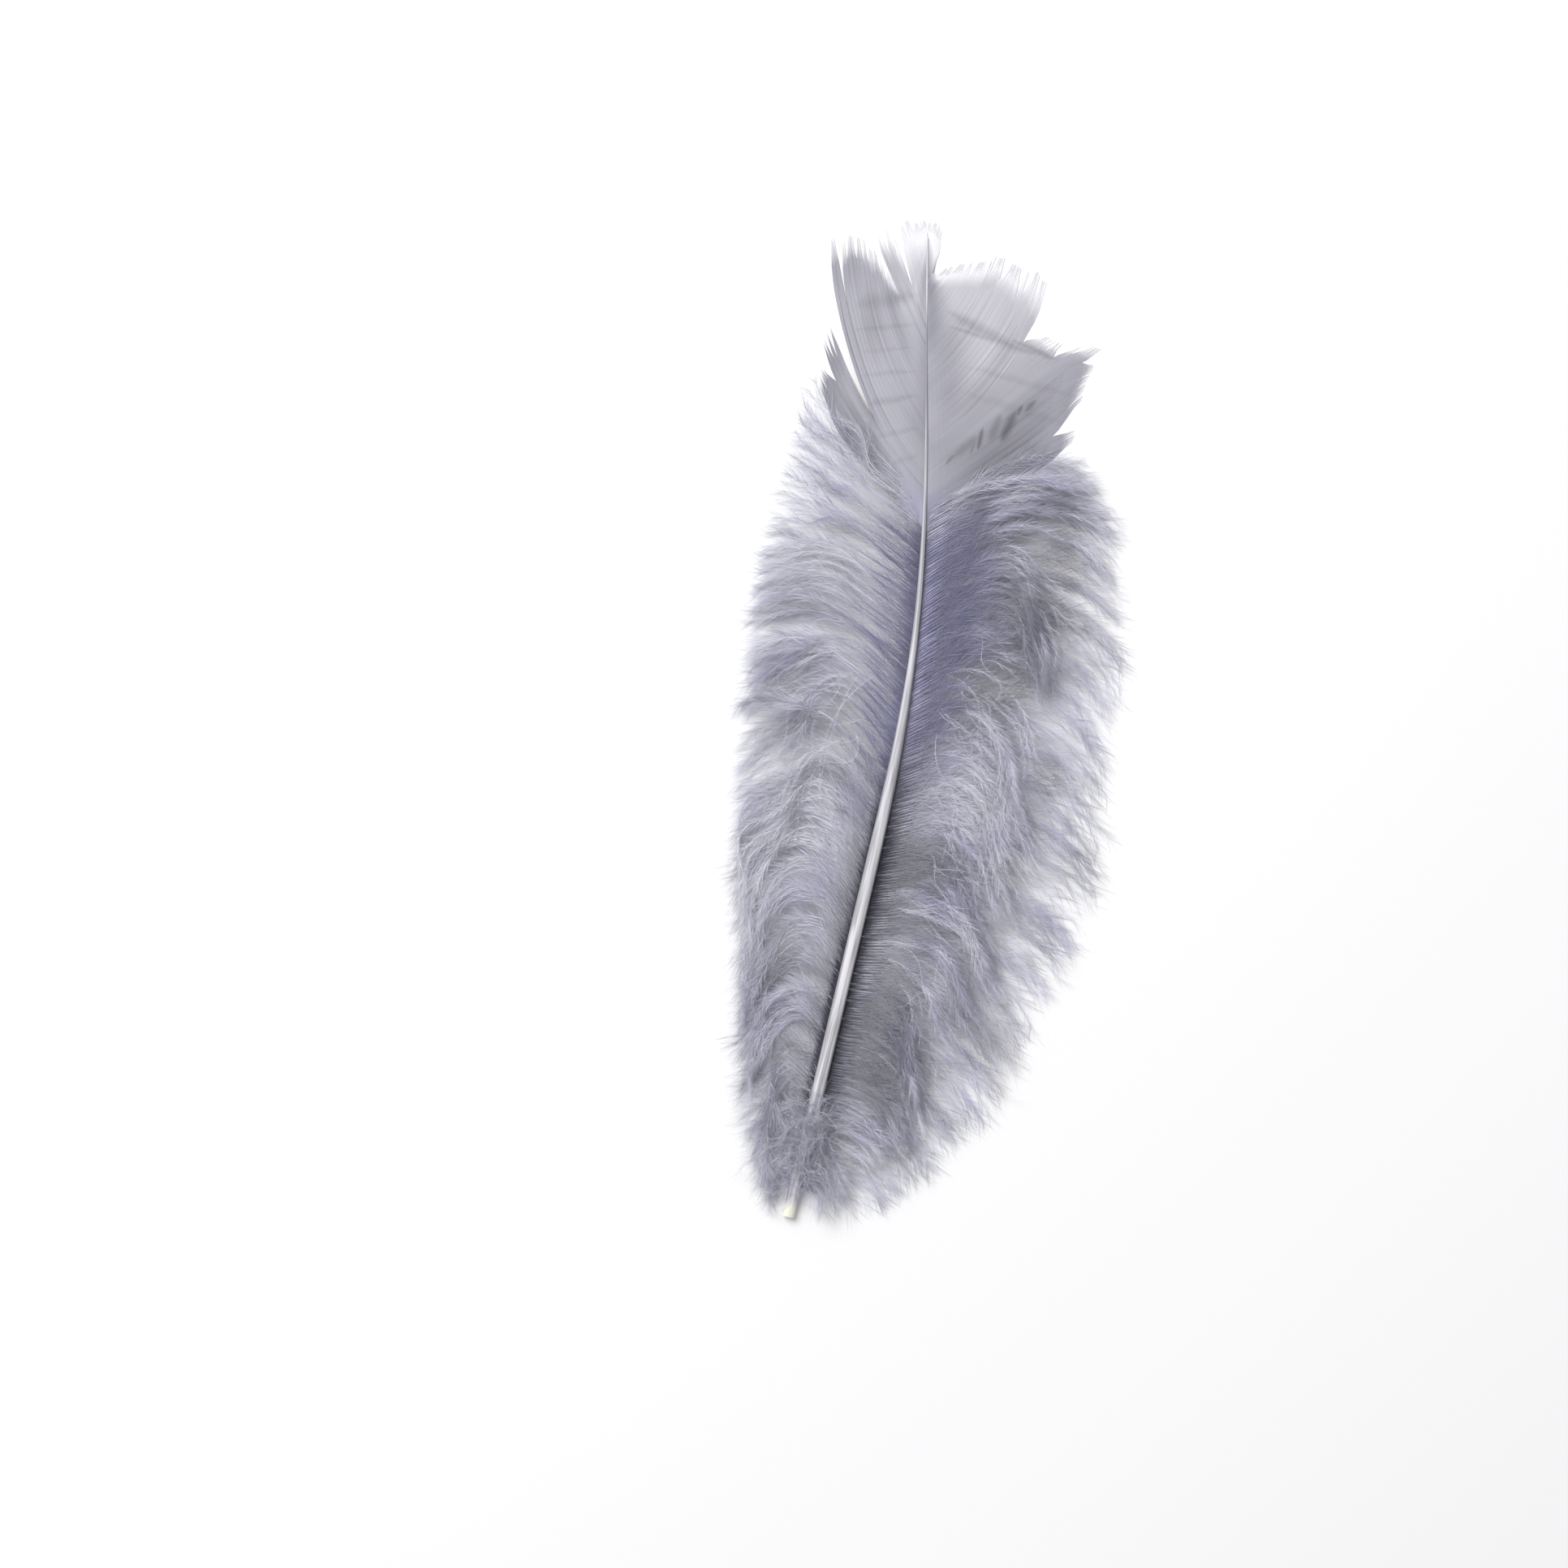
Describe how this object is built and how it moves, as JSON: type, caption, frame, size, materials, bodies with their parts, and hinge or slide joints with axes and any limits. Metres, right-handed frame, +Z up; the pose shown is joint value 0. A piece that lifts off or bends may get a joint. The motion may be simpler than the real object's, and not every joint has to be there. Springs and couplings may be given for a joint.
{
  "type": "goose feather",
  "caption": "Loose goose feather lying flat: slender arched quill, blunt ragged vane at its tip, and soft down along the lower two thirds.",
  "frame": {"origin": "on the surface that the feather lies on, under the middle of its length and width", "axes": "+Y from the cut end of the quill towards the tip of the vane, +X to the right seen from above, +Z up"},
  "size_m": [0.056, 0.135, 0.0084],
  "materials": {
    "barbs": "soft matte grey with a faint lavender cast, a little silky sheen along the barbs, paler and thin at the vane's ragged end",
    "quill": "smooth pale horn, slightly translucent, with fine lines along it"
  },
  "bodies": {
    "root": {"feather": "barbs"}
  },
  "joints": []
}
